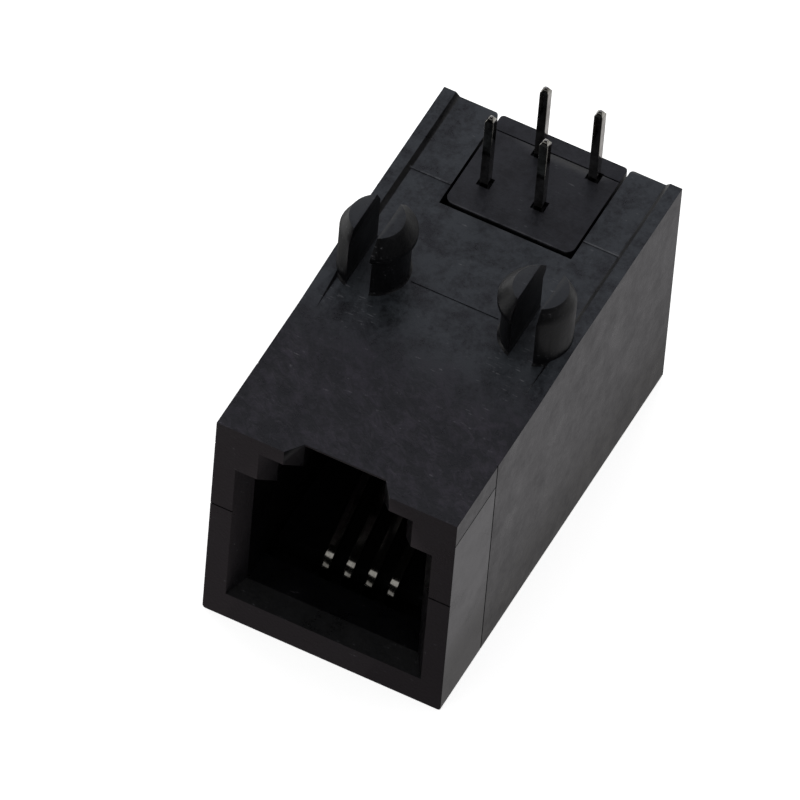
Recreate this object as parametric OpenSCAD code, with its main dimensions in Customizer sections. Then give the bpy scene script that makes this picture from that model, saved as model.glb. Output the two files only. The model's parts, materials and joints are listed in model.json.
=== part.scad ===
// Four-contact modular jack for a circuit board, lying on its cover face with the board side up.
// X runs across the mouth, Y from the mouth to the back, Z from the cover face to the board side.
// The origin is the middle of the cover face. Millimetres.

/* [Housing] */
// Width across the side walls
body_w = 11.18; // [10.8:0.02:12.2]
// Depth from the front face to the back
body_d = 20.67; // [20:0.01:23]
// Height from the cover face to the board face
body_h = 12.2; // [12:0.05:13.5]
// Thickness of the cover wall under the contacts
cover_t = 0.9; // [0.7:0.05:1.05]
// Radius of the long edges of the cover face
cover_r = 0.16; // [0.05:0.01:0.3]

/* [Plug mouth] */
// Width of the plug cavity
cavity_w = 8; // [7.4:0.05:8.3]
// Height of the plug cavity above the sill
cavity_h = 7.04; // [6.7:0.02:7.3]
// Height of the mouth sill above the cover face
sill_z = 2.08; // [1.95:0.01:2.2]
// Depth of the mouth sill behind the front face
sill_d = 2.3; // [1.8:0.05:2.8]
// Width of the wide latch keyway
keyway_w = 6; // [5.4:0.05:6.6]
// Height of the wide latch keyway above the plug cavity
keyway_h = 1.66; // [1.2:0.02:1.8]
// Width of the narrow latch keyway
latch_w = 3.74; // [3.2:0.02:4.2]
// Thickness of the roof over the latch pocket
latch_roof_t = 0.65; // [0.5:0.05:0.8]
// Height of that roof's front edge, above the slope under it
roof_edge_t = 0.1; // [0.06:0.02:0.3]
// Depth of the front lip that a latch catches behind
lip_d = 1.7; // [1.2:0.05:2.4]
// Depth of the latch pocket behind that lip
pocket_d = 4.9; // [3.5:0.1:6]
// Width of the lead-in bevel round the mouth
bevel_w = 0.58; // [0.3:0.02:0.7]
// Depth of the lead-in bevel round the mouth
bevel_d = 0.78; // [0.4:0.02:1.1]

/* [Board pegs and rails] */
// Distance between the two peg axes
peg_spacing = 7.62; // [7.2:0.01:7.8]
// Distance of the peg axes ahead of the back
peg_back = 9.97; // [9.7:0.01:10.6]
// Radius of the peg shank
peg_r = 1.55; // [1.4:0.01:1.65]
// Height of the pegs above the board face
peg_h = 3.2; // [3:0.05:4]
// Radius of the flat top of a peg
peg_top_r = 1.19; // [1:0.01:1.3]
// Height of the chamfer below a peg's top
peg_chamfer_h = 0.7; // [0.4:0.05:0.75]
// Chamfer at the root of a peg
peg_root = 0.1; // [0.06:0.01:0.15]
// Width of the slot that splits a peg
peg_slot_w = 1.1; // [0.8:0.02:1.2]
// Radius of the snap barb on a peg's inner half
barb_r = 1.77; // [1.7:0.01:1.82]
// Height of the barb's underside above the board face
barb_z = 1.95; // [1.7:0.05:2.05]
// Height of the sloped underside of the barb
barb_slope_h = 0.3; // [0.1:0.05:0.35]
// Width of the stand-off rails along the side walls
rail_w = 0.78; // [0.5:0.02:0.9]
// Height of the stand-off rails above the board face
rail_h = 0.2; // [0.15:0.01:0.4]
// Where the rails start to rise, behind the front face
rail_y = 7.5; // [6:0.1:10]
// Length of the ramp at the front of a rail
rail_ramp_d = 3.2; // [1:0.1:5]
// Chamfer on the inner edge of a rail
rail_chamfer = 0.22; // [0.1:0.01:0.3]

/* [Mould lines] */
// Width of the lines that the parts of the mould leave on the housing
seam_w = 0.08; // [0.05:0.01:0.12]
// Depth of those lines
seam_depth = 0.04; // [0.02:0.01:0.06]
// Height of the line across the front face, above the cover face
front_seam_z = 6.9; // [5:0.1:8]
// Distance of the upright lines on the side walls behind the front face
side_seam_y = 3.65; // [3:0.05:5]
// Height of the short lines on the side walls ahead of those, above the cover face
short_seam_z = 10.85; // [10:0.05:11.4]
// Distance of the low ridge on both sides of the carrier ahead of the back
ridge_back = 4.5; // [3:0.05:5.2]

/* [Contact carrier] */
// Width of the carrier where it shows in the board face
insert_w = 5.95; // [5.3:0.05:6.1]
// How far the carrier's window and its wires lie to the right of the housing's middle
insert_x = 0.11; // [-0.2:0.01:0.2]
// How far the carrier starts ahead of the front tail row in the board face
insert_lead = 1.73; // [1.2:0.01:1.9]
// Gap on each side of the carrier in the board face
insert_side_gap = 0.12; // [0.05:0.01:0.2]
// Gap in front of the carrier in the board face
insert_front_gap = 0.22; // [0.1:0.01:0.4]
// Radius of the carrier's front corners in the board face
insert_front_r = 0.4; // [0.2:0.05:0.6]
// Radius of the carrier's rear corners and of the slot mouth behind
insert_rear_r = 0.18; // [0.05:0.01:0.3]
// How far the carrier's block reaches ahead of that, under the board wall
block_lead = 1.15; // [0.6:0.05:1.6]
// Sliding gap between the carrier and the cavity
slide_gap = 0.08; // [0.04:0.01:0.12]
// Distance of the mould line on the carrier from the back
line_y = 0.88; // [0.75:0.01:0.95]
// Width and depth of that mould line
line_w = 0.06; // [0.04:0.01:0.16]
// Length of the dimple round a solder tail, across the jack
dimple_w = 0.62; // [0.56:0.02:0.9]
// Length of the dimple round a solder tail, front to back
dimple_d = 0.6; // [0.56:0.02:0.8]
// Depth of that dimple
dimple_h = 0.28; // [0.1:0.02:0.5]
// Where the comb starts behind the front face
comb_y = 10; // [9:0.1:10.4]
// Height of the comb's front edge above the cover face
comb_z = 7.4; // [7.1:0.05:7.8]
// Gap between a spring and the comb on each side
comb_gap = 0.08; // [0.04:0.01:0.14]
// How far the snap wedges stand out of the carrier's sides
snap_h = 0.3; // [0.15:0.01:0.45]
// Length of a snap wedge along the slide
snap_d = 1.6; // [1:0.1:2.2]
// Height of a snap wedge
snap_w = 2; // [1:0.1:3]

/* [Contacts] */
// Side of the square contact wire
wire = 0.4; // [0.34:0.01:0.46]
// Gap between a wire and its channel in the carrier
wire_gap = 0.03; // [0.02:0.005:0.04]
// Pitch of the springs across the mouth
contact_pitch = 1.02; // [0.96:0.01:1.1]
// Pitch of the solder tails across the jack
tail_pitch = 1.27; // [1.2:0.01:1.4]
// Distance of the front tail row behind the peg axes
tail_setback = 6.35; // [6.1:0.01:6.5]
// Distance between the two tail rows
tail_row = 2.54; // [2.2:0.01:2.6]
// Length of a tail above the board face
tail_h = 4.28; // [3.2:0.02:5.2]
// Height of the pyramid point of a tail
tip_h = 0.28; // [0.2:0.02:0.6]
// Side of the small flat on that point
tip_w = 0.1; // [0.06:0.01:0.2]
// Gap between the sill and the folds of the wires
fold_gap = 0.45; // [0.1:0.05:0.6]
// Radius of the folds behind the sill, at the middle of the wire
fold_r = 0.6; // [0.5:0.01:0.66]
// Length of the straight rise from a fold to the easy bend above it
rise_len = 0.08; // [0.04:0.02:0.3]
// Radius of that easy bend into the spring, at the middle of the wire
ease_r = 1.8; // [1:0.1:2.4]
// Turn of that bend
ease_angle = 25; // [10:1:35]
// Radius of the bends under the tails, at the middle of the wire
bend_r = 0.5; // [0.4:0.01:0.6]
// Rise of the springs from the cover face
spring_angle = 31; // [28:0.5:32]
// Length of the straight spring
spring_len = 8.5; // [8.1:0.1:8.9]
// Length of the sideways jog between the two pitches
jog_d = 3; // [2:0.1:3.6]

/* [Hidden] */

// Fineness of round surfaces
$fn = 64;
// Overshoot of a cut past the face it opens
cut = 1;
// Number of contacts
contact_count = 4;
// Colours of the moulding compound, the carrier and the plated wire
housing_colour = "#26262a";
carrier_colour = "#202024";
plating_colour = "#b9b6ac";

// Levels above the cover face
cavity_top = sill_z + cavity_h;
keyway_top = cavity_top + keyway_h;
pocket_top = body_h - latch_roof_t;
block_top = cavity_top - slide_gap;

// Places behind the front face
peg_y = body_d - peg_back;
tail_row_y = peg_y + tail_setback;
insert_y = tail_row_y - insert_lead;
insert_d = body_d - insert_y;
slot_y = insert_y - insert_front_gap;
slot_d = body_d - slot_y;
ridge_y = body_d - ridge_back;
block_y = insert_y - block_lead;
pocket_end = lip_d + pocket_d;
roof_end = bevel_d + (latch_roof_t - roof_edge_t) * bevel_d / bevel_w;

// Pegs
slot_half = peg_slot_w / 2;
barb_land_z = barb_z + barb_slope_h;
chamfer_z = peg_h - peg_chamfer_h;

// Carrier
carrier_w = cavity_w - 2 * slide_gap;
slot_w = insert_w + 2 * insert_side_gap;
rib_t = contact_pitch - wire - 2 * comb_gap;
snap_y = (block_y + body_d - snap_d) / 2;
snap_z = (cover_t + block_top - snap_w) / 2;

// Wires
half = wire / 2;
run_z = cover_t + wire_gap + half;
bend_z = run_z + bend_r;
fold_z = run_z + fold_r;
fold_y = sill_d + fold_gap + half + fold_r;
rise_angle = spring_angle + ease_angle;
ease_y = fold_y + (ease_r - fold_r) * sin(rise_angle) + rise_len * cos(rise_angle);
ease_z = fold_z - (ease_r - fold_r) * cos(rise_angle) + rise_len * sin(rise_angle);
spring_run = spring_len * [cos(spring_angle), sin(spring_angle)];
tongue_top = fold_z + fold_r - half - 2 * wire_gap;
jog_end = block_y + jog_d / 2;
jog_start = jog_end - jog_d;
tail_top = body_h + tail_h;

// Place of contact i, counted from 1 on the left: springs, tails and the row of its tail
function spread(i) = i - (contact_count + 1) / 2;
function spring_x(i) = insert_x + spread(i) * contact_pitch;
function tail_x(i) = insert_x + spread(i) * tail_pitch;
function tail_y(i) = tail_row_y + (1 - i % 2) * tail_row;

// Points of an arc about a middle in Y and Z
function arc(middle, r, from, to) =
    let (steps = ceil(abs(to - from) * $fn / 360))
    [for (k = [0 : steps]) let (a = from + (to - from) * k / steps) middle + r * [cos(a), sin(a)]];

// Long edge of the sprung end of a wire, at a distance from its middle: fold, easy bend and spring
function spring_edge(off) =
    let (
        fold = arc([fold_y, fold_z], fold_r + off, 270, 90 + rise_angle),
        ease = arc([ease_y, ease_z], ease_r + off, 90 + rise_angle, 90 + spring_angle)
    )
    concat(fold, ease, [ease[len(ease) - 1] + spring_run]);

// Moves a shape drawn from the front face to the part's own origin
module from_front() {
    translate([0, -body_d / 2, 0]) children();
}

// Box given by its width about the middle plane and its limits in Y and Z
module span(w, y0, y1, z0, z1) {
    translate([-w / 2, y0, z0]) cube([w, y1 - y0, z1 - z0]);
}

// Solid with a profile in Y and Z, as wide as w about the middle plane
module side_profile(w) {
    rotate([90, 0, 90]) linear_extrude(w, center = true) children();
}

// Solid with a profile in X and Z, from the front face to the back
module front_profile() {
    translate([0, body_d, 0]) rotate([90, 0, 0]) linear_extrude(body_d) children();
}

// End of a flat shape as wide as w, with two round corners, where inward is 1 or -1 into the shape
module rounded_end(w, y, r, inward) {
    reach = w / 2 - r;
    translate([-reach, min(y, y + inward * r)]) square([2 * reach, r]);
    for (side = [-1, 1])
        translate([side * reach, y + inward * r]) circle(r);
}

// One step of the mouth, flared by the bevel from its full depth out to the front face
module flared_step(w, z0, z1) {
    inner = w / 2;
    outer = inner + bevel_w;
    slope = bevel_w / bevel_d;
    intersection() {
        translate([0, 0, z0 - bevel_w - cut])
            linear_extrude(z1 - z0 + 2 * (bevel_w + cut))
                polygon([
                    [-outer - slope * cut, -cut], [outer + slope * cut, -cut],
                    [inner, bevel_d], [-inner, bevel_d]
                ]);
        side_profile(2 * (outer + slope * cut) + cut)
            polygon([
                [-cut, z0 - bevel_w - slope * cut], [bevel_d, z0],
                [bevel_d, z1], [-cut, z1 + bevel_w + slope * cut]
            ]);
    }
}

// Plug mouth, latch keyways, the pocket behind the lip and the slope under the roof's front edge
module plug_space() {
    flared_step(cavity_w, sill_z, cavity_top);
    flared_step(keyway_w, sill_z, keyway_top);
    flared_step(latch_w, sill_z, body_h + cut);
    span(cavity_w, 0, body_d + cut, sill_z, cavity_top);
    span(cavity_w, sill_d, body_d + cut, cover_t, cavity_top);
    span(keyway_w, 0, block_y, sill_z, keyway_top);
    span(latch_w, 0, pocket_end, sill_z, pocket_top);
    span(keyway_w, lip_d, pocket_end, sill_z, pocket_top);
    side_profile(latch_w)
        polygon([
            [0, keyway_top], [roof_end, keyway_top], [roof_end, pocket_top],
            [bevel_d, body_h - roof_edge_t], [0, body_h - roof_edge_t]
        ]);
}

// Opening in the board face for the carrier, with rounded edges at its mouth in the back
module insert_slot() {
    translate([insert_x, 0, cavity_top - cut])
        linear_extrude(body_h - cavity_top + 2 * cut)
            difference() {
                translate([-slot_w / 2 - insert_rear_r, slot_y])
                    square([slot_w + 2 * insert_rear_r, slot_d + cut]);
                for (side = [-1, 1])
                    translate([side * (slot_w / 2 + insert_rear_r), 0])
                        jamb();
            }
}

// Plan of the housing beside the carrier opening, rounded where the opening meets the back
module jamb() {
    translate([-insert_rear_r, slot_y - cut])
        square([2 * insert_rear_r, slot_d + cut - insert_rear_r]);
    translate([0, body_d - insert_rear_r]) circle(insert_rear_r);
}

// Pocket in each side wall that a snap wedge of the carrier drops into
module snap_pockets() {
    reach = carrier_w + 2 * (snap_h + slide_gap);
    room = [snap_d, snap_w] + 2 * [slide_gap, slide_gap];
    translate([-reach / 2, snap_y - slide_gap, snap_z - slide_gap])
        cube([reach, room[0], room[1]]);
}

// Split peg on the board face: a chamfered shank with a snap barb on the half towards the middle
module peg(side) {
    translate([side * peg_spacing / 2, peg_y, body_h])
        difference() {
            union() {
                rotate_extrude()
                    polygon([
                        [0, -cut], [peg_r + peg_root, -cut], [peg_r + peg_root, 0], [peg_r, peg_root],
                        [peg_r, chamfer_z], [peg_top_r, peg_h], [0, peg_h]
                    ]);
                intersection() {
                    rotate_extrude()
                        polygon([
                            [0, barb_z], [peg_r, barb_z], [barb_r, barb_land_z],
                            [barb_r, chamfer_z], [peg_top_r, peg_h], [0, peg_h]
                        ]);
                    translate([side > 0 ? -2 * barb_r : 0, -barb_r, 0])
                        cube([2 * barb_r, 2 * barb_r, peg_h]);
                }
            }
            translate([-slot_half, -2 * barb_r, 0]) cube([peg_slot_w, 4 * barb_r, peg_h + cut]);
        }
}

// Stand-off rail along one side wall, with a ramp at its front and a chamfered inner edge
module rail(side) {
    outer = body_w / 2;
    inner = outer - rail_w;
    intersection() {
        front_profile()
            polygon([
                [side * outer, body_h - cut], [side * outer, body_h + rail_h],
                [side * (inner + rail_chamfer), body_h + rail_h],
                [side * inner, body_h + rail_h - rail_chamfer], [side * inner, body_h - cut]
            ]);
        side_profile(body_w)
            polygon([
                [rail_y, body_h - cut], [rail_y, body_h], [rail_y + rail_ramp_d, body_h + rail_h],
                [body_d, body_h + rail_h], [body_d, body_h - cut]
            ]);
    }
}

// Fine lines where the parts of the mould met: across the front, between the pegs and on the side walls
module mould_lines() {
    span(body_w + cut, -cut, seam_depth, front_seam_z, front_seam_z + seam_w);
    span(peg_spacing - 2 * barb_r, peg_y - seam_w / 2, peg_y + seam_w / 2, body_h - seam_depth, body_h + cut);
    for (side = [-1, 1])
        translate([side * body_w / 2 - seam_depth, 0, 0]) {
            translate([0, side_seam_y, -cut]) cube([2 * seam_depth, seam_w, body_h + 2 * cut]);
            translate([0, -cut, short_seam_z]) cube([2 * seam_depth, side_seam_y + cut, seam_w]);
        }
}

// Section of the housing's block, rounded along the edges of the cover face
module block_section() {
    translate([-body_w / 2, cover_r]) square([body_w, body_h - cover_r]);
    rounded_end(body_w, 0, cover_r, 1);
}

// Housing: one moulding, open at the mouth and at the back
module housing() {
    color(housing_colour)
        from_front()
            difference() {
                union() {
                    front_profile() block_section();
                    span(body_w - rail_w, ridge_y, ridge_y + seam_w, body_h - cut, body_h + seam_depth);
                    for (side = [-1, 1]) {
                        rail(side);
                        peg(side);
                    }
                }
                plug_space();
                insert_slot();
                snap_pockets();
                mould_lines();
            }
}

// Plan of the carrier where it stands in the board face
module insert_plan() {
    translate([insert_x, 0]) {
        rounded_end(insert_w, insert_y, insert_front_r, 1);
        translate([-insert_w / 2, insert_y + insert_front_r])
            square([insert_w, insert_d - insert_front_r - insert_rear_r]);
        rounded_end(insert_w, body_d, insert_rear_r, -1);
    }
}

// Snap wedges on the carrier's two sides, rising towards the back
module snap_wedges() {
    outer = carrier_w / 2;
    translate([0, 0, snap_z])
        linear_extrude(snap_w)
            polygon([
                [-outer, snap_y], [outer, snap_y], [outer + snap_h, snap_y + snap_d],
                [-outer - snap_h, snap_y + snap_d]
            ]);
}

// Comb ribs that part the free ends of the springs
module comb() {
    for (i = [0 : contact_count])
        translate([spring_x(i + 0.5), 0, 0])
            side_profile(rib_t)
                polygon([
                    [comb_y, cover_t], [comb_y, comb_z], [block_y + cut, block_top],
                    [block_y + cut, cover_t]
                ]);
}

// Carrier: rear block, floor tongue and comb, with a channel and a dimple for each wire
module contact_carrier() {
    color(carrier_colour)
        from_front()
            difference() {
                union() {
                    span(carrier_w, block_y, body_d, cover_t, block_top);
                    translate([0, 0, block_top - cut]) linear_extrude(body_h - block_top + cut) insert_plan();
                    span(carrier_w, fold_y, block_y + cut, cover_t, tongue_top);
                    comb();
                    snap_wedges();
                }
                for (i = [1 : contact_count])
                    wire_channel(i);
                span(insert_w + cut, body_d - line_y, body_d - line_y + line_w, body_h - line_w, body_h + cut);
            }
}

// Plan of a wire's run along the cover wall, with its jog from the spring pitch to the tail pitch
module run_plan(i, y0, y1, w) {
    a = spring_x(i);
    b = tail_x(i);
    polygon([
        [a - w / 2, y0], [a + w / 2, y0], [a + w / 2, jog_start], [b + w / 2, jog_end],
        [b + w / 2, y1], [b - w / 2, y1], [b - w / 2, jog_end], [a - w / 2, jog_start]
    ]);
}

// Arc of square wire in a Y and Z plane, about an axis along X at the origin
module wire_bend(r, from, turn, w) {
    rotate([90, 0, 90])
        rotate([0, 0, from])
            rotate_extrude(angle = turn)
                translate([r - w / 2, -w / 2])
                    square(w);
}

// Bend where the run turns up into the tail
module tail_bend(i, w) {
    translate([tail_x(i), tail_y(i) - bend_r, bend_z]) wire_bend(bend_r, -90, 90, w);
}

// Channel in the carrier for the run, the bend and the tail of wire i, open to the cover wall
module wire_channel(i) {
    w = wire + 2 * wire_gap;
    translate([0, 0, cover_t - cut])
        linear_extrude(cut + wire_gap + wire + wire_gap)
            run_plan(i, 0, tail_y(i) + w / 2, w);
    tail_bend(i, w);
    translate([tail_x(i) - w / 2, tail_y(i) - w / 2, run_z]) cube([w, w, body_h]);
    translate([tail_x(i) - dimple_w / 2, tail_y(i) - dimple_d / 2, body_h - dimple_h])
        cube([dimple_w, dimple_d, dimple_h + cut]);
}

// Tail of square wire with a coined pyramid point
module tail(i) {
    point = [
        [-half, bend_z], [half, bend_z], [half, tail_top - tip_h],
        [tip_w / 2, tail_top], [-tip_w / 2, tail_top], [-half, tail_top - tip_h]
    ];
    translate([tail_x(i), tail_y(i), 0])
        intersection() {
            side_profile(wire) polygon(point);
            rotate([90, 0, 0]) linear_extrude(wire, center = true) polygon(point);
        }
}

// Sprung end of a wire, between its two long edges
module spring() {
    back = spring_edge(-half);
    side_profile(wire)
        polygon(concat(spring_edge(half), [for (k = [len(back) - 1 : -1 : 0]) back[k]]));
}

// Contact i: one wire from its solder tail along the cover wall to the fold, the easy bend and the spring
module contact(i) {
    color(plating_colour)
        from_front() {
            tail(i);
            tail_bend(i, wire);
            translate([0, 0, run_z - half])
                linear_extrude(wire)
                    run_plan(i, fold_y, tail_y(i) - bend_r, wire);
            translate([spring_x(i), 0, 0]) spring();
        }
}

housing();
contact_carrier();
contact(1);  // contact_1
contact(2);  // contact_2
contact(3);  // contact_3
contact(4);  // contact_4
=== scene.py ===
"""Looks of a four-contact modular jack for a circuit board, lying on its cover face.

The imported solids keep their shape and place. This script rounds their edges, dresses them as moulded
plastic and plated wire with the fine marks of a mould, and lights them in a small studio.
"""

import json
import logging
import math
from dataclasses import dataclass
from enum import Enum
from typing import Any

import bmesh
import bpy
from mathutils import Matrix, Vector


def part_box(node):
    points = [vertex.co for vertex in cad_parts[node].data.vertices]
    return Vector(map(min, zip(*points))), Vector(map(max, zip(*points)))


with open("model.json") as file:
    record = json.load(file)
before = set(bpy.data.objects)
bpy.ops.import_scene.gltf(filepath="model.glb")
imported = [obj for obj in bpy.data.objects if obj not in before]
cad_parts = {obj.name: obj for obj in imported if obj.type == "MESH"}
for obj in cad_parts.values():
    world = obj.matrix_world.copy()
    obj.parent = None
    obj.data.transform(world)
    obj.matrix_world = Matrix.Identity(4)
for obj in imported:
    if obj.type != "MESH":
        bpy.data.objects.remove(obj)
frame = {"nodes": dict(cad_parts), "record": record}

LOG = logging.getLogger("modular_jack")
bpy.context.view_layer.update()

# Metres in a millimetre, the unit of every length below
MM = 0.001

# Refractive index of a moulded polymer
POLYMER_IOR = 1.5

# Numbers of a Mix node's colour sockets, because their names repeat for other types of data
MIX_SHARE, MIX_FROM, MIX_TO, MIX_RESULT = 0, 6, 7, 2

Point = tuple[float, float, float]
Colour = tuple[float, float, float, float]
Tree = bpy.types.NodeTree
Socket = bpy.types.NodeSocket
Axes = bpy.types.bpy_prop_collection
Values = dict[str | int, Any]
Links = dict[str | int, Socket]


class Lying(Enum):
    """How a card stands, as its turns in degrees about its own width and then the upright axis."""

    FLAT = (0.0, 0.0)
    FACING_BACK = (90.0, 0.0)
    FACING_SIDE = (90.0, 90.0)
    LEANING_BACK = (71.6, 0.0)


def linear(code: str) -> Colour:
    """Turn an sRGB hex colour into linear light.

    Args:
        code: Six hex digits after a hash sign.

    Returns:
        Linear red, green and blue, and an alpha of 1.
    """
    parts = [int(code[i:i + 2], 16) / 255 for i in (1, 3, 5)]
    red, green, blue = [p / 12.92 if p <= 0.04045 else ((p + 0.055) / 1.055) ** 2.4 for p in parts]
    return (red, green, blue, 1.0)


def add_node(
    tree: Tree,
    kind: str,
    values: Values | None = None,
    links: Links | None = None,
    **settings: Any,
) -> bpy.types.Node:
    """Add one shader node with its settings, values and incoming links.

    Args:
        tree: Node tree that gets the node.
        kind: Blender's type name without its ShaderNode prefix.
        values: Numbers or colours for the node's own sockets.
        links: Output sockets to join to the node's inputs.
        **settings: Properties of the node, such as an operation.

    Returns:
        The new node.
    """
    made = tree.nodes.new("ShaderNode" + kind)
    for name, value in settings.items():
        setattr(made, name, value)
    for key, value in (values or {}).items():
        made.inputs[key].default_value = value
    for key, source in (links or {}).items():
        tree.links.new(source, made.inputs[key])
    return made


def new_material(name: str) -> tuple[bpy.types.Material, Tree]:
    """Make an empty node material.

    Args:
        name: Name of the material.

    Returns:
        The material and its empty node tree.
    """
    made = bpy.data.materials.new(name)
    made.use_nodes = True
    made.node_tree.nodes.clear()
    return made, made.node_tree


def place_in_millimetres(tree: Tree) -> Socket:
    """Give the place on a piece, in the frame of the jack.

    Args:
        tree: Node tree of the material.

    Returns:
        The place in millimetres.
    """
    place = add_node(tree, "TexCoord").outputs["Object"]
    return add_node(tree, "VectorMath", {"Scale": 1 / MM}, {0: place}, operation="SCALE").outputs[0]


def seen_rays(tree: Tree) -> Socket:
    """Tell the rays that show the background from those that light the object.

    Args:
        tree: Node tree of the material or the world.

    Returns:
        1 for camera, mirror and see-through rays, else 0.
    """
    path = add_node(tree, "LightPath").outputs
    seen = add_node(tree, "Math", links={0: path["Is Camera Ray"], 1: path["Is Glossy Ray"]},
                    operation="MAXIMUM").outputs[0]
    return add_node(tree, "Math", links={0: seen, 1: path["Is Transmission Ray"]},
                    operation="MAXIMUM").outputs[0]


def link_object(name: str, mesh: bmesh.types.BMesh) -> bpy.types.Object:
    """Turn a finished bmesh into an object of the scene.

    Args:
        name: Name of the object and of its mesh.
        mesh: The shape in metres, which is freed here.

    Returns:
        The new object.
    """
    data = bpy.data.meshes.new(name)
    mesh.to_mesh(data)
    mesh.free()
    made = bpy.data.objects.new(name, data)
    bpy.context.scene.collection.objects.link(made)
    return made


@dataclass(frozen=True)
class Noise:
    """Noise pattern of a surface, by its real size.

    Attributes:
        size: Size of its largest features, in millimetres.
        detail: Number of finer layers.
        roughness: Strength of each finer layer beside the one before.
        distortion: How far the pattern is bent.
    """

    size: float
    detail: float
    roughness: float
    distortion: float = 0.0

    def sockets(self) -> Values:
        """Give the values of a noise node that is fed with places in millimetres."""
        return {"Scale": 1 / self.size, "Detail": self.detail, "Roughness": self.roughness,
                "Distortion": self.distortion}


@dataclass(frozen=True)
class Span:
    """Stretch of a value over which something grows from its least to its most.

    Attributes:
        start: Value at which the growth starts.
        stop: Value at which it ends.
        least: What there is before the start.
        most: What there is past the end.
    """

    start: float
    stop: float
    least: float = 0.0
    most: float = 1.0

    def sockets(self) -> Values:
        """Give the values of a node that maps the stretch."""
        return {"From Min": self.start, "From Max": self.stop, "To Min": self.least, "To Max": self.most}


@dataclass(frozen=True)
class Block:
    """Limits of the housing that its finish is placed by, in millimetres.

    Attributes:
        half_width: Distance of the side walls from the middle plane.
        front: Place of the front face along Y.
        board: Height of the board face.
        peg: Distance of the pegs' axes from the middle plane, and their place along Y.
        rail: Height about the board face within which rails and ridges still belong to it.
    """

    half_width: float
    front: float
    board: float
    peg: tuple[float, float]
    rail: float = 0.4


@dataclass(frozen=True)
class Skin:
    """Sockets that all parts of a plastic's finish share, with patterns and zones from 0 to 1.

    Attributes:
        tree: Node tree of the material.
        place: Place in millimetres.
        axis: Coordinates of that place.
        mottle: Mottled pattern.
        wrinkle: Pattern of the flow wrinkles.
        face: Upward board face and, in part, the pegs' tops, where the sheen is painted.
        zone: Wrinkled zone of the board face.
        patch: Smoother patches of the side walls.
    """

    tree: Tree
    place: Socket
    axis: Axes
    mottle: Socket
    wrinkle: Socket
    face: Socket
    zone: Socket
    patch: Socket


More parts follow.
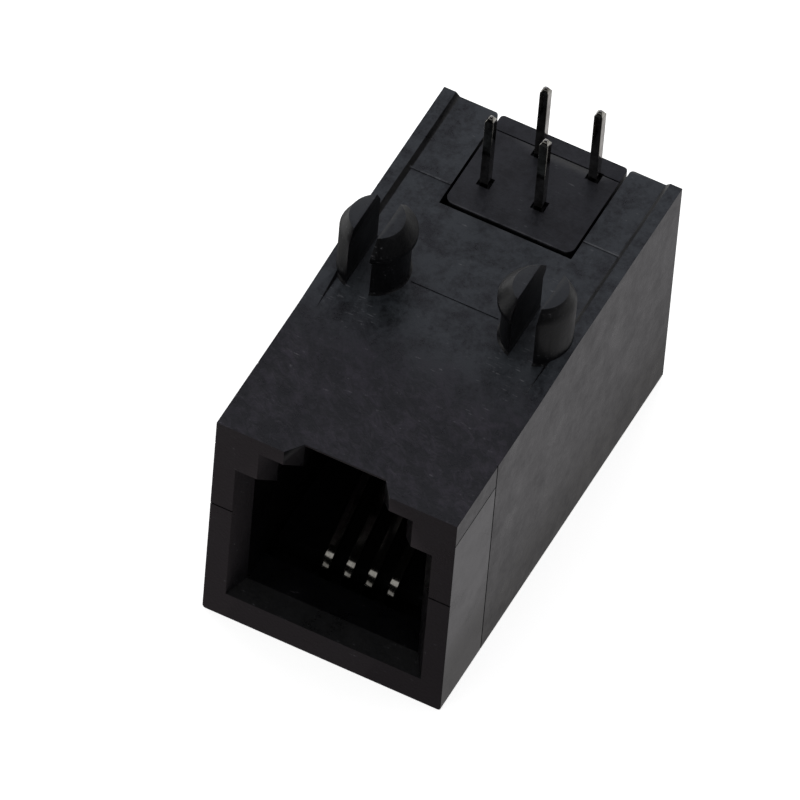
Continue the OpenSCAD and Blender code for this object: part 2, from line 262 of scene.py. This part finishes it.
@dataclass(frozen=True)
class Wear:
    """Scratches in patches and before the pegs, a rubbed ridge and specks of dust, in millimetres.

    Attributes:
        ridge: How far behind the front face the rubbed ridge or edge lies.
        ridge_reach: How far along Y about that line, and in height about the board face, it is rubbed.
        ridge_span: Mottle over which the rubbing grows, up to its strength.
        scratch: Pattern whose peaks are the scratches.
        scratch_length: Length of a scratch beside its width.
        scratch_turns: Turns of the two sets of scratches about Z, in radians.
        scratch_span: Height of the peaks over which a scratch grows, up to its strength.
        worn_span: Mottle over which the surface grows from clean to scratched.
        peg_reach: How far before the pegs' axes, and how far about that place, the face is scuffed.
        peg_core: Share of that reach within which it is scuffed in full.
        peg_gain: What the scuffing there adds to the mottle.
        speck: Spacing of the specks.
        speck_span: Distance from a speck's middle, beside the spacing, over which it grows to its strength.
        speck_chance: Random value of a speck over which it grows from hidden to plain.
    """

    ridge: float
    ridge_reach: tuple[float, float] = (0.05, 0.09)
    ridge_span: Span = Span(0.4, 0.6, most=0.35)
    scratch: Noise = Noise(0.09, detail=0.0, roughness=0.5)
    scratch_length: float = 5.0
    scratch_turns: tuple[float, float] = (0.6, -0.9)
    scratch_span: Span = Span(0.74, 0.84, most=0.45)
    worn_span: Span = Span(0.55, 0.63)
    peg_reach: float = 2.4
    peg_core: float = 0.3
    peg_gain: float = 0.12
    speck: float = 1.5
    speck_span: Span = Span(0.05, 0.02, most=0.5)
    speck_chance: Span = Span(0.7, 1.0)

    def mask(self, skin: Skin, block: Block) -> Socket:
        """Mark all wear of the surface.

        Args:
            skin: Shared patterns of the surface.
            block: Limits of the housing.

        Returns:
            The wear, from 0 to 1.
        """
        shown = self.specks(skin)
        for mark in (*self.scratches(skin, block), self.rubbing(skin, block)):
            shown = add_node(skin.tree, "Math", links={0: shown, 1: mark}, operation="MAXIMUM").outputs[0]
        return shown

    def specks(self, skin: Skin) -> Socket:
        """Mark a few specks of dust.

        Args:
            skin: Shared patterns of the surface.

        Returns:
            The specks, from 0 to 1.
        """
        tree = skin.tree
        cell = add_node(tree, "TexVoronoi", {"Scale": 1 / self.speck}, {"Vector": skin.place}).outputs
        dot = add_node(tree, "MapRange", self.speck_span.sockets(), {"Value": cell["Distance"]}).outputs[0]
        value = add_node(tree, "SeparateXYZ", links={0: cell["Color"]}).outputs["X"]
        chance = add_node(tree, "MapRange", self.speck_chance.sockets(), {"Value": value}).outputs[0]
        return add_node(tree, "Math", links={0: dot, 1: chance}, operation="MULTIPLY").outputs[0]

    def scratches(self, skin: Skin, block: Block) -> list[Socket]:
        """Mark short scratches where the mottle is strong, and more of them before the pegs.

        Args:
            skin: Shared patterns of the surface.
            block: Limits of the housing.

        Returns:
            Both sets of scratches, each from 0 to 1.
        """
        tree = skin.tree
        peg_x, peg_y = block.peg
        side = add_node(tree, "Math", links={0: skin.axis["X"]}, operation="ABSOLUTE").outputs[0]
        half = add_node(tree, "CombineXYZ", links={"X": side, "Y": skin.axis["Y"]}).outputs[0]
        away = add_node(tree, "VectorMath", {1: (peg_x, peg_y - self.peg_reach, 0.0)}, {0: half},
                        operation="DISTANCE").outputs["Value"]
        before_pegs = Span(self.peg_reach, self.peg_core * self.peg_reach, most=self.peg_gain)
        near = add_node(tree, "MapRange", before_pegs.sockets(), {"Value": away}).outputs[0]
        worn = add_node(tree, "Math", links={0: skin.mottle, 1: near}, operation="ADD").outputs[0]
        worn = add_node(tree, "MapRange", self.worn_span.sockets(), {"Value": worn}).outputs[0]

        marks = []
        for turn in self.scratch_turns:
            slant = {"Scale": (1 / self.scratch_length, 1.0, 1.0), "Rotation": (0.0, 0.0, turn)}
            drawn = add_node(tree, "Mapping", slant, {"Vector": skin.place}).outputs[0]
            line = add_node(tree, "TexNoise", self.scratch.sockets(), {"Vector": drawn}).outputs["Fac"]
            line = add_node(tree, "MapRange", self.scratch_span.sockets(), {"Value": line}).outputs[0]
            marks.append(add_node(tree, "Math", links={0: line, 1: worn}, operation="MULTIPLY").outputs[0])
        return marks

    def rubbing(self, skin: Skin, block: Block) -> Socket:
        """Mark the rubbed ridge or edge, broken up by the mottle.

        Args:
            skin: Shared patterns of the surface.
            block: Limits of the housing.

        Returns:
            The rubbing, from 0 to 1.
        """
        tree = skin.tree
        along, up = self.ridge_reach
        rubbed = add_node(tree, "MapRange", self.ridge_span.sockets(), {"Value": skin.mottle}).outputs[0]
        for axis, middle, reach in (("Y", block.front + self.ridge, along), ("Z", block.board, up)):
            inside = add_node(tree, "Math", {1: middle, 2: reach}, {0: skin.axis[axis]},
                              operation="COMPARE").outputs[0]
            rubbed = add_node(tree, "Math", links={0: rubbed, 1: inside}, operation="MULTIPLY").outputs[0]
        return rubbed


@dataclass(frozen=True)
class MouldedPlastic:
    """Black thermoplastic, injection moulded against a spark-eroded tool, with lengths in millimetres.

    The eye sees a soft grey sheen on black, a painted sheen in slate on the upward board face behind the
    violet streaks and wrinkles near the mouth, a smoother patch on each side wall and a few scratches and
    specks.

    Attributes:
        name: Name of the material.
        deep: Colour where the surface is densest.
        pale: Colour where the surface is cloudy.
        painted_sheen: Colour of the painted sheen on the upward board face.
        scuff: Colour of scratches, rubbed ridges and specks of dust.
        roughness: Mean roughness.
        specular: Level of the mirror reflection, where 0.5 is that of a smooth polymer.
        wear: Scratches, rubbing and dust.
        flow: Colour of the streaks that the flow of the melt left among the wrinkles.
        mottle: Pattern of the cloudy patches.
        pale_span: Mottle over which the colour grows from deep to pale.
        painted_sheen_span: Mottle over which the painted sheen grows.
        dull_swing: How far the roughness follows the mottle.
        peg_dull: What the pegs' duller skin adds to the roughness.
        peg_painted_sheen: Share of the painted sheen that lies on the pegs' tops.
        upward: Upward part of the surface's direction over which it counts as facing up and takes the
            painted sheen.
        grain: Pattern of the eroded grain, drawn coarser than the real one so that it shows.
        grain_height: Height of that grain.
        wrinkle: Pattern of the flow wrinkles on the board face near the mouth.
        wrinkle_height: Height of those wrinkles.
        wrinkle_length: Length of a wrinkle beside its width.
        wrinkle_turn: Turn of the wrinkles about Z, in radians.
        wrinkle_end: How far behind the front face the wrinkles have faded out.
        wrinkle_full: Share of that distance up to which they are full.
        flow_span: Sum of mottle and wrinkles over which the streaks grow.
        patch_end: How far the smoother patch on the side walls reaches behind the front face.
        patch_top: How high that patch reaches.
        patch_skin: Depth under the side walls' plane at which the patch ends on rounded edges.
        patch_dull: What the patch adds to the roughness.
        patch_grain: Share of the grain's height that is left in the patch.
    """

    name: str
    deep: str
    pale: str
    painted_sheen: str
    scuff: str
    roughness: float
    specular: float
    wear: Wear
    flow: str = "#26222a"
    mottle: Noise = Noise(1.8, detail=6.0, roughness=0.85)
    pale_span: Span = Span(0.36, 0.66)
    painted_sheen_span: Span = Span(0.41, 0.56, least=0.25)
    dull_swing: float = 0.5
    peg_dull: float = 0.1
    peg_painted_sheen: float = 0.5
    upward: Span = Span(0.8, 0.98)
    grain: Noise = Noise(0.14, detail=2.0, roughness=0.6)
    grain_height: float = 0.008
    wrinkle: Noise = Noise(0.4, detail=3.0, roughness=0.7, distortion=0.8)
    wrinkle_height: float = 0.0
    wrinkle_length: float = 1.8
    wrinkle_turn: float = -0.7
    wrinkle_end: float = 0.0
    wrinkle_full: float = 0.5
    flow_span: Span = Span(0.92, 1.24)
    patch_end: float = 0.0
    patch_top: float = 0.0
    patch_skin: float = 0.06
    patch_dull: float = -0.12
    patch_grain: float = 0.3

    def material(self, block: Block) -> bpy.types.Material:
        """Build the material for a piece.

        Args:
            block: Limits of the housing.

        Returns:
            The material.
        """
        made, tree = new_material(self.name)
        skin = self.skin(tree, block)
        surface = add_node(
            tree,
            "BsdfPrincipled",
            {"Specular IOR Level": self.specular, "IOR": POLYMER_IOR},
            {
                "Base Color": self.colour(skin, block),
                "Roughness": self.dullness(skin, block),
                "Normal": self.relief(skin),
            },
        )
        add_node(tree, "OutputMaterial", links={"Surface": surface.outputs[0]})
        return made

    def skin(self, tree: Tree, block: Block) -> Skin:
        """Lay out the patterns and zones that the finish is worked out from.

        Args:
            tree: Node tree of the material.
            block: Limits of the housing.

        Returns:
            The shared patterns of the surface.
        """
        place = place_in_millimetres(tree)
        axis = add_node(tree, "SeparateXYZ", links={0: place}).outputs
        mottle = add_node(tree, "TexNoise", self.mottle.sockets(), {"Vector": place}).outputs["Fac"]

        # Wrinkles are drawn out the way the melt flowed, slanting from the left rear to the right front
        slant = {"Scale": (self.wrinkle_length, 1.0, 1.0), "Rotation": (0.0, 0.0, self.wrinkle_turn)}
        drawn = add_node(tree, "Mapping", slant, {"Vector": place}, vector_type="TEXTURE").outputs[0]
        wrinkle = add_node(tree, "TexNoise", self.wrinkle.sockets(), {"Vector": drawn}).outputs["Fac"]

        face, zone = self.board_face(tree, axis, block)
        patch = self.side_patch(tree, axis, block)
        return Skin(tree, place, axis, mottle, wrinkle, face, zone, patch)

    def board_face(self, tree: Tree, axis: Axes, block: Block) -> tuple[Socket, Socket]:
        """Mark the upward board face with the pegs' tops, where the sheen is painted, and its wrinkled zone.

        Args:
            tree: Node tree of the material.
            axis: Coordinates in millimetres.
            block: Limits of the housing.

        Returns:
            The face and the zone, each from 0 to 1.
        """
        # The face is found by its upward direction, so the painted sheen lies only on faces turned up
        normal = add_node(tree, "TexCoord").outputs["Normal"]
        rise = add_node(tree, "SeparateXYZ", links={0: normal}).outputs["Z"]
        face = add_node(tree, "MapRange", self.upward.sockets(), {"Value": rise}).outputs[0]
        level = add_node(tree, "Math", {1: block.board - block.rail}, {0: axis["Z"]},
                         operation="GREATER_THAN").outputs[0]
        # On the pegs' tops the painted sheen thins to its share
        thinning = Span(block.board + block.rail, block.board + 2 * block.rail, 1.0, self.peg_painted_sheen)
        thin = add_node(tree, "MapRange", thinning.sockets(), {"Value": axis["Z"]}).outputs[0]
        for part in (level, thin):
            face = add_node(tree, "Math", links={0: face, 1: part}, operation="MULTIPLY").outputs[0]

        full = block.front + self.wrinkle_full * self.wrinkle_end
        fading = Span(full, block.front + self.wrinkle_end, 1.0, 0.0)
        ahead = add_node(tree, "MapRange", fading.sockets(), {"Value": axis["Y"]},
                         interpolation_type="SMOOTHSTEP").outputs[0]
        zone = add_node(tree, "Math", links={0: ahead, 1: face}, operation="MULTIPLY").outputs[0]
        return face, zone

    def side_patch(self, tree: Tree, axis: Axes, block: Block) -> Socket:
        """Mark the smoother patches of the side walls near the mouth.

        Args:
            tree: Node tree of the material.
            axis: Coordinates in millimetres.
            block: Limits of the housing.

        Returns:
            The patches, from 0 to 1.
        """
        side = add_node(tree, "Math", links={0: axis["X"]}, operation="ABSOLUTE").outputs[0]
        wall = Span(block.half_width - self.patch_skin, block.half_width - self.patch_skin / 2)
        patch = add_node(tree, "MapRange", wall.sockets(), {"Value": side}).outputs[0]
        for limit, along in ((block.front + self.patch_end, "Y"), (self.patch_top, "Z")):
            inside = add_node(tree, "Math", {1: limit}, {0: axis[along]}, operation="LESS_THAN").outputs[0]
            patch = add_node(tree, "Math", links={0: patch, 1: inside}, operation="MULTIPLY").outputs[0]
        return patch

    def colour(self, skin: Skin, block: Block) -> Socket:
        """Colour the surface: mottled, then under a painted sheen, streaks of the melt's flow and wear.

        Args:
            skin: Shared patterns of the surface.
            block: Limits of the housing.

        Returns:
            The colour.
        """
        tree = skin.tree
        cloudy = add_node(tree, "MapRange", self.pale_span.sockets(), {"Value": skin.mottle}).outputs[0]
        # Painted sheen: the upward board face behind the wrinkled zone is lightened, broken up by the mottle
        painted_sheen_share = add_node(tree, "MapRange", self.painted_sheen_span.sockets(), {"Value": skin.mottle}).outputs[0]
        behind = add_node(tree, "Math", links={0: skin.face, 1: skin.zone}, operation="SUBTRACT").outputs[0]
        painted_sheen_share = add_node(tree, "Math", links={0: painted_sheen_share, 1: behind}, operation="MULTIPLY").outputs[0]
        streak = add_node(tree, "Math", links={0: skin.mottle, 1: skin.wrinkle}, operation="ADD").outputs[0]
        streak = add_node(tree, "MapRange", self.flow_span.sockets(), {"Value": streak}).outputs[0]
        streak = add_node(tree, "Math", links={0: streak, 1: skin.zone}, operation="MULTIPLY").outputs[0]

        colour = add_node(tree, "Mix", {MIX_FROM: linear(self.deep), MIX_TO: linear(self.pale)},
                          {MIX_SHARE: cloudy}, data_type="RGBA").outputs[MIX_RESULT]
        covers = ((self.painted_sheen, painted_sheen_share), (self.flow, streak), (self.scuff, self.wear.mask(skin, block)))
        for cover, share in covers:
            colour = add_node(tree, "Mix", {MIX_TO: linear(cover)}, {MIX_SHARE: share, MIX_FROM: colour},
                              data_type="RGBA").outputs[MIX_RESULT]
        return colour

    def dullness(self, skin: Skin, block: Block) -> Socket:
        """Roughen the surface with the mottle, less in the patches and more on the pegs.

        Args:
            skin: Shared patterns of the surface.
            block: Limits of the housing.

        Returns:
            The roughness.
        """
        tree = skin.tree
        uneven = add_node(tree, "Math", {1: self.dull_swing, 2: self.roughness - self.dull_swing / 2},
                          {0: skin.mottle}, operation="MULTIPLY_ADD").outputs[0]
        peg = add_node(tree, "Math", {1: block.board + block.rail}, {0: skin.axis["Z"]},
                       operation="GREATER_THAN").outputs[0]
        for share, change in ((skin.patch, self.patch_dull), (peg, self.peg_dull)):
            uneven = add_node(tree, "Math", {1: change}, {0: share, 2: uneven},
                              operation="MULTIPLY_ADD").outputs[0]
        return uneven

    def relief(self, skin: Skin) -> Socket:
        """Raise the eroded grain and the flow wrinkles.

        Args:
            skin: Shared patterns of the surface.

        Returns:
            The direction of the raised surface.
        """
        tree = skin.tree
        grain = add_node(tree, "TexNoise", self.grain.sockets(), {"Vector": skin.place}).outputs["Fac"]
        loss = (self.patch_grain - 1) * self.grain_height
        fine = add_node(tree, "Math", {1: loss, 2: self.grain_height}, {0: skin.patch},
                        operation="MULTIPLY_ADD").outputs[0]
        fine = add_node(tree, "Math", links={0: grain, 1: fine}, operation="MULTIPLY").outputs[0]
        coarse = add_node(tree, "Math", {1: self.wrinkle_height}, {0: skin.zone},
                          operation="MULTIPLY").outputs[0]
        height = add_node(tree, "Math", links={0: skin.wrinkle, 1: coarse, 2: fine},
                          operation="MULTIPLY_ADD").outputs[0]
        return add_node(tree, "Bump", {"Strength": 1.0, "Distance": MM}, {"Height": height}).outputs[0]


@dataclass(frozen=True)
class PlatedWire:
    """Square bronze wire, drawn and then plated with bright tin.

    The eye sees a soft silver mirror with duller smears.

    Attributes:
        name: Name of the material.
        bright: Colour of the clean plating.
        dull: Colour of the smears.
        roughness: Roughness of the clean plating.
        smear_dull: What the smears add to the roughness.
        smear: Pattern whose low parts are the smears.
        bright_span: Height of the pattern over which the colour grows from dull to bright.
        clean_start: Height of the pattern up to which the smears are at their roughest.
        clean_stop: Height of the pattern from which the plating is clean.
    """

    name: str = "drawn_wire_bright_tin"
    bright: str = "#c4c1ba"
    dull: str = "#8f8c85"
    roughness: float = 0.08
    smear_dull: float = 0.03
    smear: Noise = Noise(0.5, detail=4.0, roughness=0.65)
    bright_span: Span = Span(0.35, 0.6)
    clean_start: float = 0.3
    clean_stop: float = 0.7

    def material(self) -> bpy.types.Material:
        """Build the material.

        Returns:
            The material.
        """
        made, tree = new_material(self.name)
        place = place_in_millimetres(tree)
        smear = add_node(tree, "TexNoise", self.smear.sockets(), {"Vector": place}).outputs["Fac"]
        share = add_node(tree, "MapRange", self.bright_span.sockets(), {"Value": smear}).outputs[0]
        tone = add_node(tree, "Mix", {MIX_FROM: linear(self.dull), MIX_TO: linear(self.bright)},
                        {MIX_SHARE: share}, data_type="RGBA").outputs[MIX_RESULT]
        cleaning = Span(self.clean_start, self.clean_stop, self.roughness + self.smear_dull, self.roughness)
        uneven = add_node(tree, "MapRange", cleaning.sockets(), {"Value": smear}).outputs[0]
        surface = add_node(tree, "BsdfPrincipled", {"Metallic": 1.0},
                           {"Base Color": tone, "Roughness": uneven})
        add_node(tree, "OutputMaterial", links={"Surface": surface.outputs[0]})
        return made


@dataclass(frozen=True)
class StudioPaper:
    """White paper of the studio floor, which keeps a faint shadow.

    Attributes:
        name: Name of the material.
        colour: Colour of the paper.
        glow: White that camera, mirror and see-through rays meet beside the light on the paper.
    """

    name: str = "white_studio_paper"
    colour: str = "#f4f4f4"
    glow: float = 0.72

    def material(self) -> bpy.types.Material:
        """Build the material.

        Returns:
            The material.
        """
        made, tree = new_material(self.name)
        share = add_node(tree, "Math", {1: self.glow}, {0: seen_rays(tree)}, operation="MULTIPLY").outputs[0]
        paper = add_node(tree, "BsdfDiffuse", {"Color": linear(self.colour)}).outputs[0]
        white = add_node(tree, "Emission", links={"Strength": share}).outputs[0]
        both = add_node(tree, "AddShader", links={0: paper, 1: white}).outputs[0]
        add_node(tree, "OutputMaterial", links={"Surface": both})
        return made


@dataclass(frozen=True)
class Rounding:
    """Small radius that a mould or a die leaves on the edges of a piece, in millimetres.

    Attributes:
        width: Width of the rounding.
        segments: Number of strips across it.
        angle: Smallest angle between faces, in degrees, that counts as an edge.
        weld: Distance within which corners of facets are joined first.
        face_weight: How firmly large faces keep their shading flat, from 1 to 100.
    """

    width: float
    segments: int = 2
    angle: float = 30.0
    weld: float = 0.001
    face_weight: int = 100

    def apply(self, piece: bpy.types.Object) -> None:
        """Round the edges of a piece with modifiers, so its own mesh stays as packed.

        Args:
            piece: The object to round.
        """
        join = piece.modifiers.new("joined_facets", "WELD")
        join.merge_threshold = self.weld * MM
        edge = piece.modifiers.new("rounded_edges", "BEVEL")
        edge.width = self.width * MM
        edge.segments = self.segments
        edge.limit_method = "ANGLE"
        edge.angle_limit = math.radians(self.angle)
        edge.use_clamp_overlap = True
        flat = piece.modifiers.new("flat_faces", "WEIGHTED_NORMAL")
        flat.weight = self.face_weight


@dataclass
class Moulding:
    """A moulded piece of the jack, such as the housing or the contact carrier.

    Attributes:
        node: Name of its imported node.
        finish: Plastic that it is moulded in.
        rounding: Radius on its edges.
    """

    node: str
    finish: MouldedPlastic
    rounding: Rounding

    def dress(self, block: Block) -> bpy.types.Object:
        """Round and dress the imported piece.

        Args:
            block: Limits of the housing.

        Returns:
            The dressed object.
        """
        piece = frame["nodes"][self.node]
        piece.data.materials.clear()
        piece.data.materials.append(self.finish.material(block))
        self.rounding.apply(piece)
        return piece


@dataclass
class Contacts:
    """The four contact wires.

    Attributes:
        nodes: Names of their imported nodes.
        finish: Plating of the wires.
        rounding: Radius on the wires' edges.
    """

    nodes: list[str]
    finish: PlatedWire
    rounding: Rounding

    def dress(self) -> list[bpy.types.Object]:
        """Round and dress every wire in one shared material.

        Returns:
            The dressed objects.
        """
        plating = self.finish.material()
        pieces = [frame["nodes"][name] for name in self.nodes]
        for piece in pieces:
            piece.data.materials.clear()
            piece.data.materials.append(plating)
            self.rounding.apply(piece)
        return pieces


@dataclass(frozen=True)
class Softbox:
    """Soft rectangular lamp, which lights surfaces without showing in them.

    Attributes:
        name: Name of the lamp.
        place: Where it stands, in millimetres.
        aim: Point that it faces, in millimetres.
        size: Width and height, in millimetres.
        watts: Power.
    """

    name: str
    place: Point
    aim: Point
    size: tuple[float, float]
    watts: float

    def build(self) -> bpy.types.Object:
        """Make the lamp.

        Returns:
            The lamp's object.
        """
        lamp = bpy.data.lights.new(self.name, "AREA")
        lamp.shape = "RECTANGLE"
        lamp.size = self.size[0] * MM
        lamp.size_y = self.size[1] * MM
        lamp.energy = self.watts
        made = bpy.data.objects.new(self.name, lamp)
        made.location = Vector(self.place) * MM
        heading = Vector(self.aim) - Vector(self.place)
        made.rotation_euler = heading.to_track_quat("-Z", "Y").to_euler()
        made.visible_glossy = False
        bpy.context.scene.collection.objects.link(made)
        return made


@dataclass(frozen=True)
class Card:
    """Glowing card beside the set that only mirror reflections meet, which paints the light or shade they
    show.

    Attributes:
        name: Name of the card.
        middle: Its middle, in millimetres.
        size: Width and length, in millimetres.
        colour: Colour that it glows with, the painted light or shade.
        lying: How it stands.
    """

    name: str
    middle: Point
    size: tuple[float, float]
    colour: str
    lying: Lying = Lying.FLAT

    def build(self) -> bpy.types.Object:
        """Make the card.

        Returns:
            The card's object.
        """
        sheet = bmesh.new()
        tilt, turn = self.lying.value
        place = (
            Matrix.Translation(Vector(self.middle) * MM)
            @ Matrix.Rotation(math.radians(turn), 4, "Z")
            @ Matrix.Rotation(math.radians(tilt), 4, "X")
            @ Matrix.Diagonal((self.size[0] * MM, self.size[1] * MM, 1.0, 1.0))
        )
        bmesh.ops.create_grid(sheet, x_segments=1, y_segments=1, size=0.5, matrix=place)
        made = link_object(self.name, sheet)
        paint, tree = new_material(self.name)
        # The card glows with its colour: a painted reflection, seen by mirror rays only
        shown = add_node(tree, "Emission", {"Color": linear(self.colour)}).outputs[0]
        add_node(tree, "OutputMaterial", links={"Surface": shown})
        made.data.materials.append(paint)
        made.visible_camera = False
        made.visible_diffuse = False
        made.visible_transmission = False
        made.visible_shadow = False
        return made


@dataclass
class Studio:
    """Floor, lamps, cards and surrounding white of the small studio.

    Attributes:
        paper: Finish of the floor.
        floor_size: Side of the square floor, in millimetres.
        fill: Strength of the surrounding white as light on the object.
        lamps: Soft lamps.
        cards: Glowing cards that only mirror reflections meet, which paint reflected light and shade.
    """

    paper: StudioPaper
    floor_size: float
    fill: float
    lamps: list[Softbox]
    cards: list[Card]

    def build(self) -> None:
        """Make the floor, the lamps, the cards and the world."""
        sheet = bmesh.new()
        bmesh.ops.create_grid(sheet, x_segments=1, y_segments=1, size=self.floor_size * MM / 2)
        floor = link_object("studio_floor", sheet)
        floor.data.materials.append(self.paper.material())
        for part in (*self.lamps, *self.cards):
            part.build()
            LOG.info("studio: %s", part.name)
        self.surround()

    def surround(self) -> None:
        """Fill the world with white that lights the object at a plain level."""
        world = bpy.data.worlds.new("studio_white")
        bpy.context.scene.world = world
        world.use_nodes = True
        tree = world.node_tree
        tree.nodes.clear()
        level = add_node(tree, "MapRange", {"To Min": self.fill, "To Max": 1.0},
                         {"Value": seen_rays(tree)}).outputs[0]
        white = add_node(tree, "Background", {"Color": linear("#ffffff")}, {"Strength": level}).outputs[0]
        add_node(tree, "OutputWorld", links={"Surface": white})


@dataclass(frozen=True)
class PhotoCamera:
    """Camera at the photograph's viewing angle.

    Attributes:
        azimuth: Turn about Z from looking along +Y, in degrees.
        elevation: Height above the floor, in degrees.
        roll: Turn of the camera about its own axis, in degrees.
        distance: Distance to the aim, in millimetres.
        aim: Point in the middle of the image, in millimetres.
        focal: Focal length in image pixels.
        image: Width of the image in pixels.
        sensor: Width of the sensor, in millimetres.
        near: Nearest distance that it sees, in millimetres.
        far: Farthest distance that it sees, in millimetres.
    """

    azimuth: float = 23.18
    elevation: float = 50.74
    roll: float = 5.11
    distance: float = 846.4
    aim: Point = (-1.551, -0.823, 5.980)
    focal: float = 20277.0
    image: int = 800
    sensor: float = 36.0
    near: float = 10.0
    far: float = 20000.0

    def build(self) -> bpy.types.Object:
        """Make the camera and set it as the scene's own.

        Returns:
            The camera's object.
        """
        lens = bpy.data.cameras.new("photo_camera")
        lens.sensor_fit = "HORIZONTAL"
        lens.sensor_width = self.sensor
        lens.lens = self.sensor * self.focal / self.image
        lens.clip_start = self.near * MM
        lens.clip_end = self.far * MM
        made = bpy.data.objects.new("photo_camera", lens)
        bpy.context.scene.collection.objects.link(made)
        turn = (
            Matrix.Rotation(math.radians(self.azimuth), 4, "Z")
            @ Matrix.Rotation(math.radians(90 - self.elevation), 4, "X")
            @ Matrix.Rotation(math.radians(self.roll), 4, "Z")
        )
        back = turn @ Vector((0.0, 0.0, self.distance))
        made.matrix_world = Matrix.Translation((Vector(self.aim) + back) * MM) @ turn
        bpy.context.scene.camera = made
        return made


def studio_cards() -> list[Card]:
    """Place the glowing cards that paint the reflections and the floor's shade that the faces of the jack
    mirror.

    Cards that overlap on the floor lie at heights a little apart.

    Returns:
        The cards.
    """
    return [
        # Dark glowing cards before and beside the set: painted dark reflections
        Card("front_flag", (0.0, -200.0, 300.0), (1200.0, 632.0), "#050505", Lying.LEANING_BACK),
        Card("front_floor_flag", (0.0, -166.0, 0.06), (1200.0, 268.0), "#0a0a0a"),
        Card("right_flag", (300.0, 25.0, 125.0), (850.0, 250.0), "#0a0a0a", Lying.FACING_SIDE),
        # Grey glowing strips: painted highlights on the folds of the wires
        Card("high_strip", (-38.0, -120.0, 96.0), (130.0, 40.0), "#b0b0b0", Lying.FACING_BACK),
        Card("low_strip", (-30.0, -120.0, 28.0), (70.0, 22.0), "#8c8c8c", Lying.FACING_BACK),
        # Grey glowing card above: the painted sheen that the board face reflects
        Card("ceiling", (-100.0, 450.0, 600.0), (1400.0, 1100.0), "#b7b7c4"),
        # Painted shade of the floor round the jack, which its walls and pegs reflect
        Card("floor_shade", (6.0, -2.0, 0.02), (32.0, 48.0), "#bab8ba"),
        Card("right_floor_shade", (86.0, 80.0, 0.03), (128.0, 240.0), "#b0b0b0"),
        Card("left_floor_shade", (-20.0, 12.0, 0.03), (24.0, 54.0), "#606060"),
        Card("back_floor_shade", (6.0, 52.0, 0.03), (32.0, 60.0), "#c8c8c8"),
        Card("side_shade", (6.2, 2.0, 0.06), (1.2, 26.0), "#9a9898"),
        # Painted shade of the floor before the jack, which its front reflects
        Card("front_floor_shade", (-1.25, -20.0, 0.04), (6.5, 20.0), "#877e82"),
        Card("front_left_shade", (-9.0, -20.0, 0.04), (9.0, 20.0), "#90868a"),
        Card("front_right_shade", (7.75, -20.0, 0.04), (11.5, 20.0), "#7a7175"),
        Card("front_corner_shade", (7.9, -13.0, 0.05), (4.4, 5.6), "#303030"),
    ]


def measure_block() -> Block:
    """Take the limits of the housing from the frame.

    Returns:
        The limits in millimetres.
    """
    low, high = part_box("housing")

    # The carrier's top is flush with the board face, which the pegs rise above
    carrier_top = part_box("contact_carrier")[1].z
    mounts = {mount["name"]: mount["pos_m"] for mount in frame["record"]["mounts"]}
    peg_x, peg_y, _ = mounts["right_peg"]
    peg = (peg_x / MM, peg_y / MM)
    return Block(half_width=high.x / MM, front=low.y / MM, board=carrier_top / MM, peg=peg)


def main() -> None:
    """Build the studio and dress the jack, piece by piece."""
    logging.basicConfig(level=logging.INFO, format="%(message)s")
    bpy.context.scene.view_settings.view_transform = "Standard"

    PhotoCamera().build()
    lamp = Softbox("softbox", place=(-250.0, 350.0, 420.0), aim=(0.0, 0.0, 6.0), size=(500.0, 500.0),
                   watts=0.9)
    Studio(paper=StudioPaper(), floor_size=3000.0, fill=0.5, lamps=[lamp], cards=studio_cards()).build()

    block = measure_block()
    housing = Moulding(
        "housing",
        MouldedPlastic(
            "moulded_black_pbt",
            deep="#09090b",
            pale="#131316",
            # Painted sheen on the upward board face
            painted_sheen="#303438",
            scuff="#6a6a6e",
            roughness=0.33,
            specular=0.35,
            wear=Wear(ridge=16.21),
            wrinkle_height=0.035,
            wrinkle_end=9.5,
            patch_end=3.65,
            patch_top=10.85,
        ),
        Rounding(width=0.06),
    )
    carrier = Moulding(
        "contact_carrier",
        MouldedPlastic(
            "moulded_black_nylon",
            deep="#09090b",
            # Painted sheen on the carrier's upward face
            pale="#121215",
            painted_sheen="#212227",
            scuff="#5a5a5e",
            roughness=0.42,
            specular=0.33,
            wear=Wear(ridge=15.34),
        ),
        Rounding(width=0.04),
    )
    for part in (housing, carrier):
        LOG.info("dressed %s", part.dress(block).name)
    names = sorted(name for name in frame["nodes"] if name.startswith("contact_") and name != carrier.node)
    for piece in Contacts(names, PlatedWire(), Rounding(width=0.022)).dress():
        LOG.info("dressed %s", piece.name)


if __name__ == "__main__":
    main()
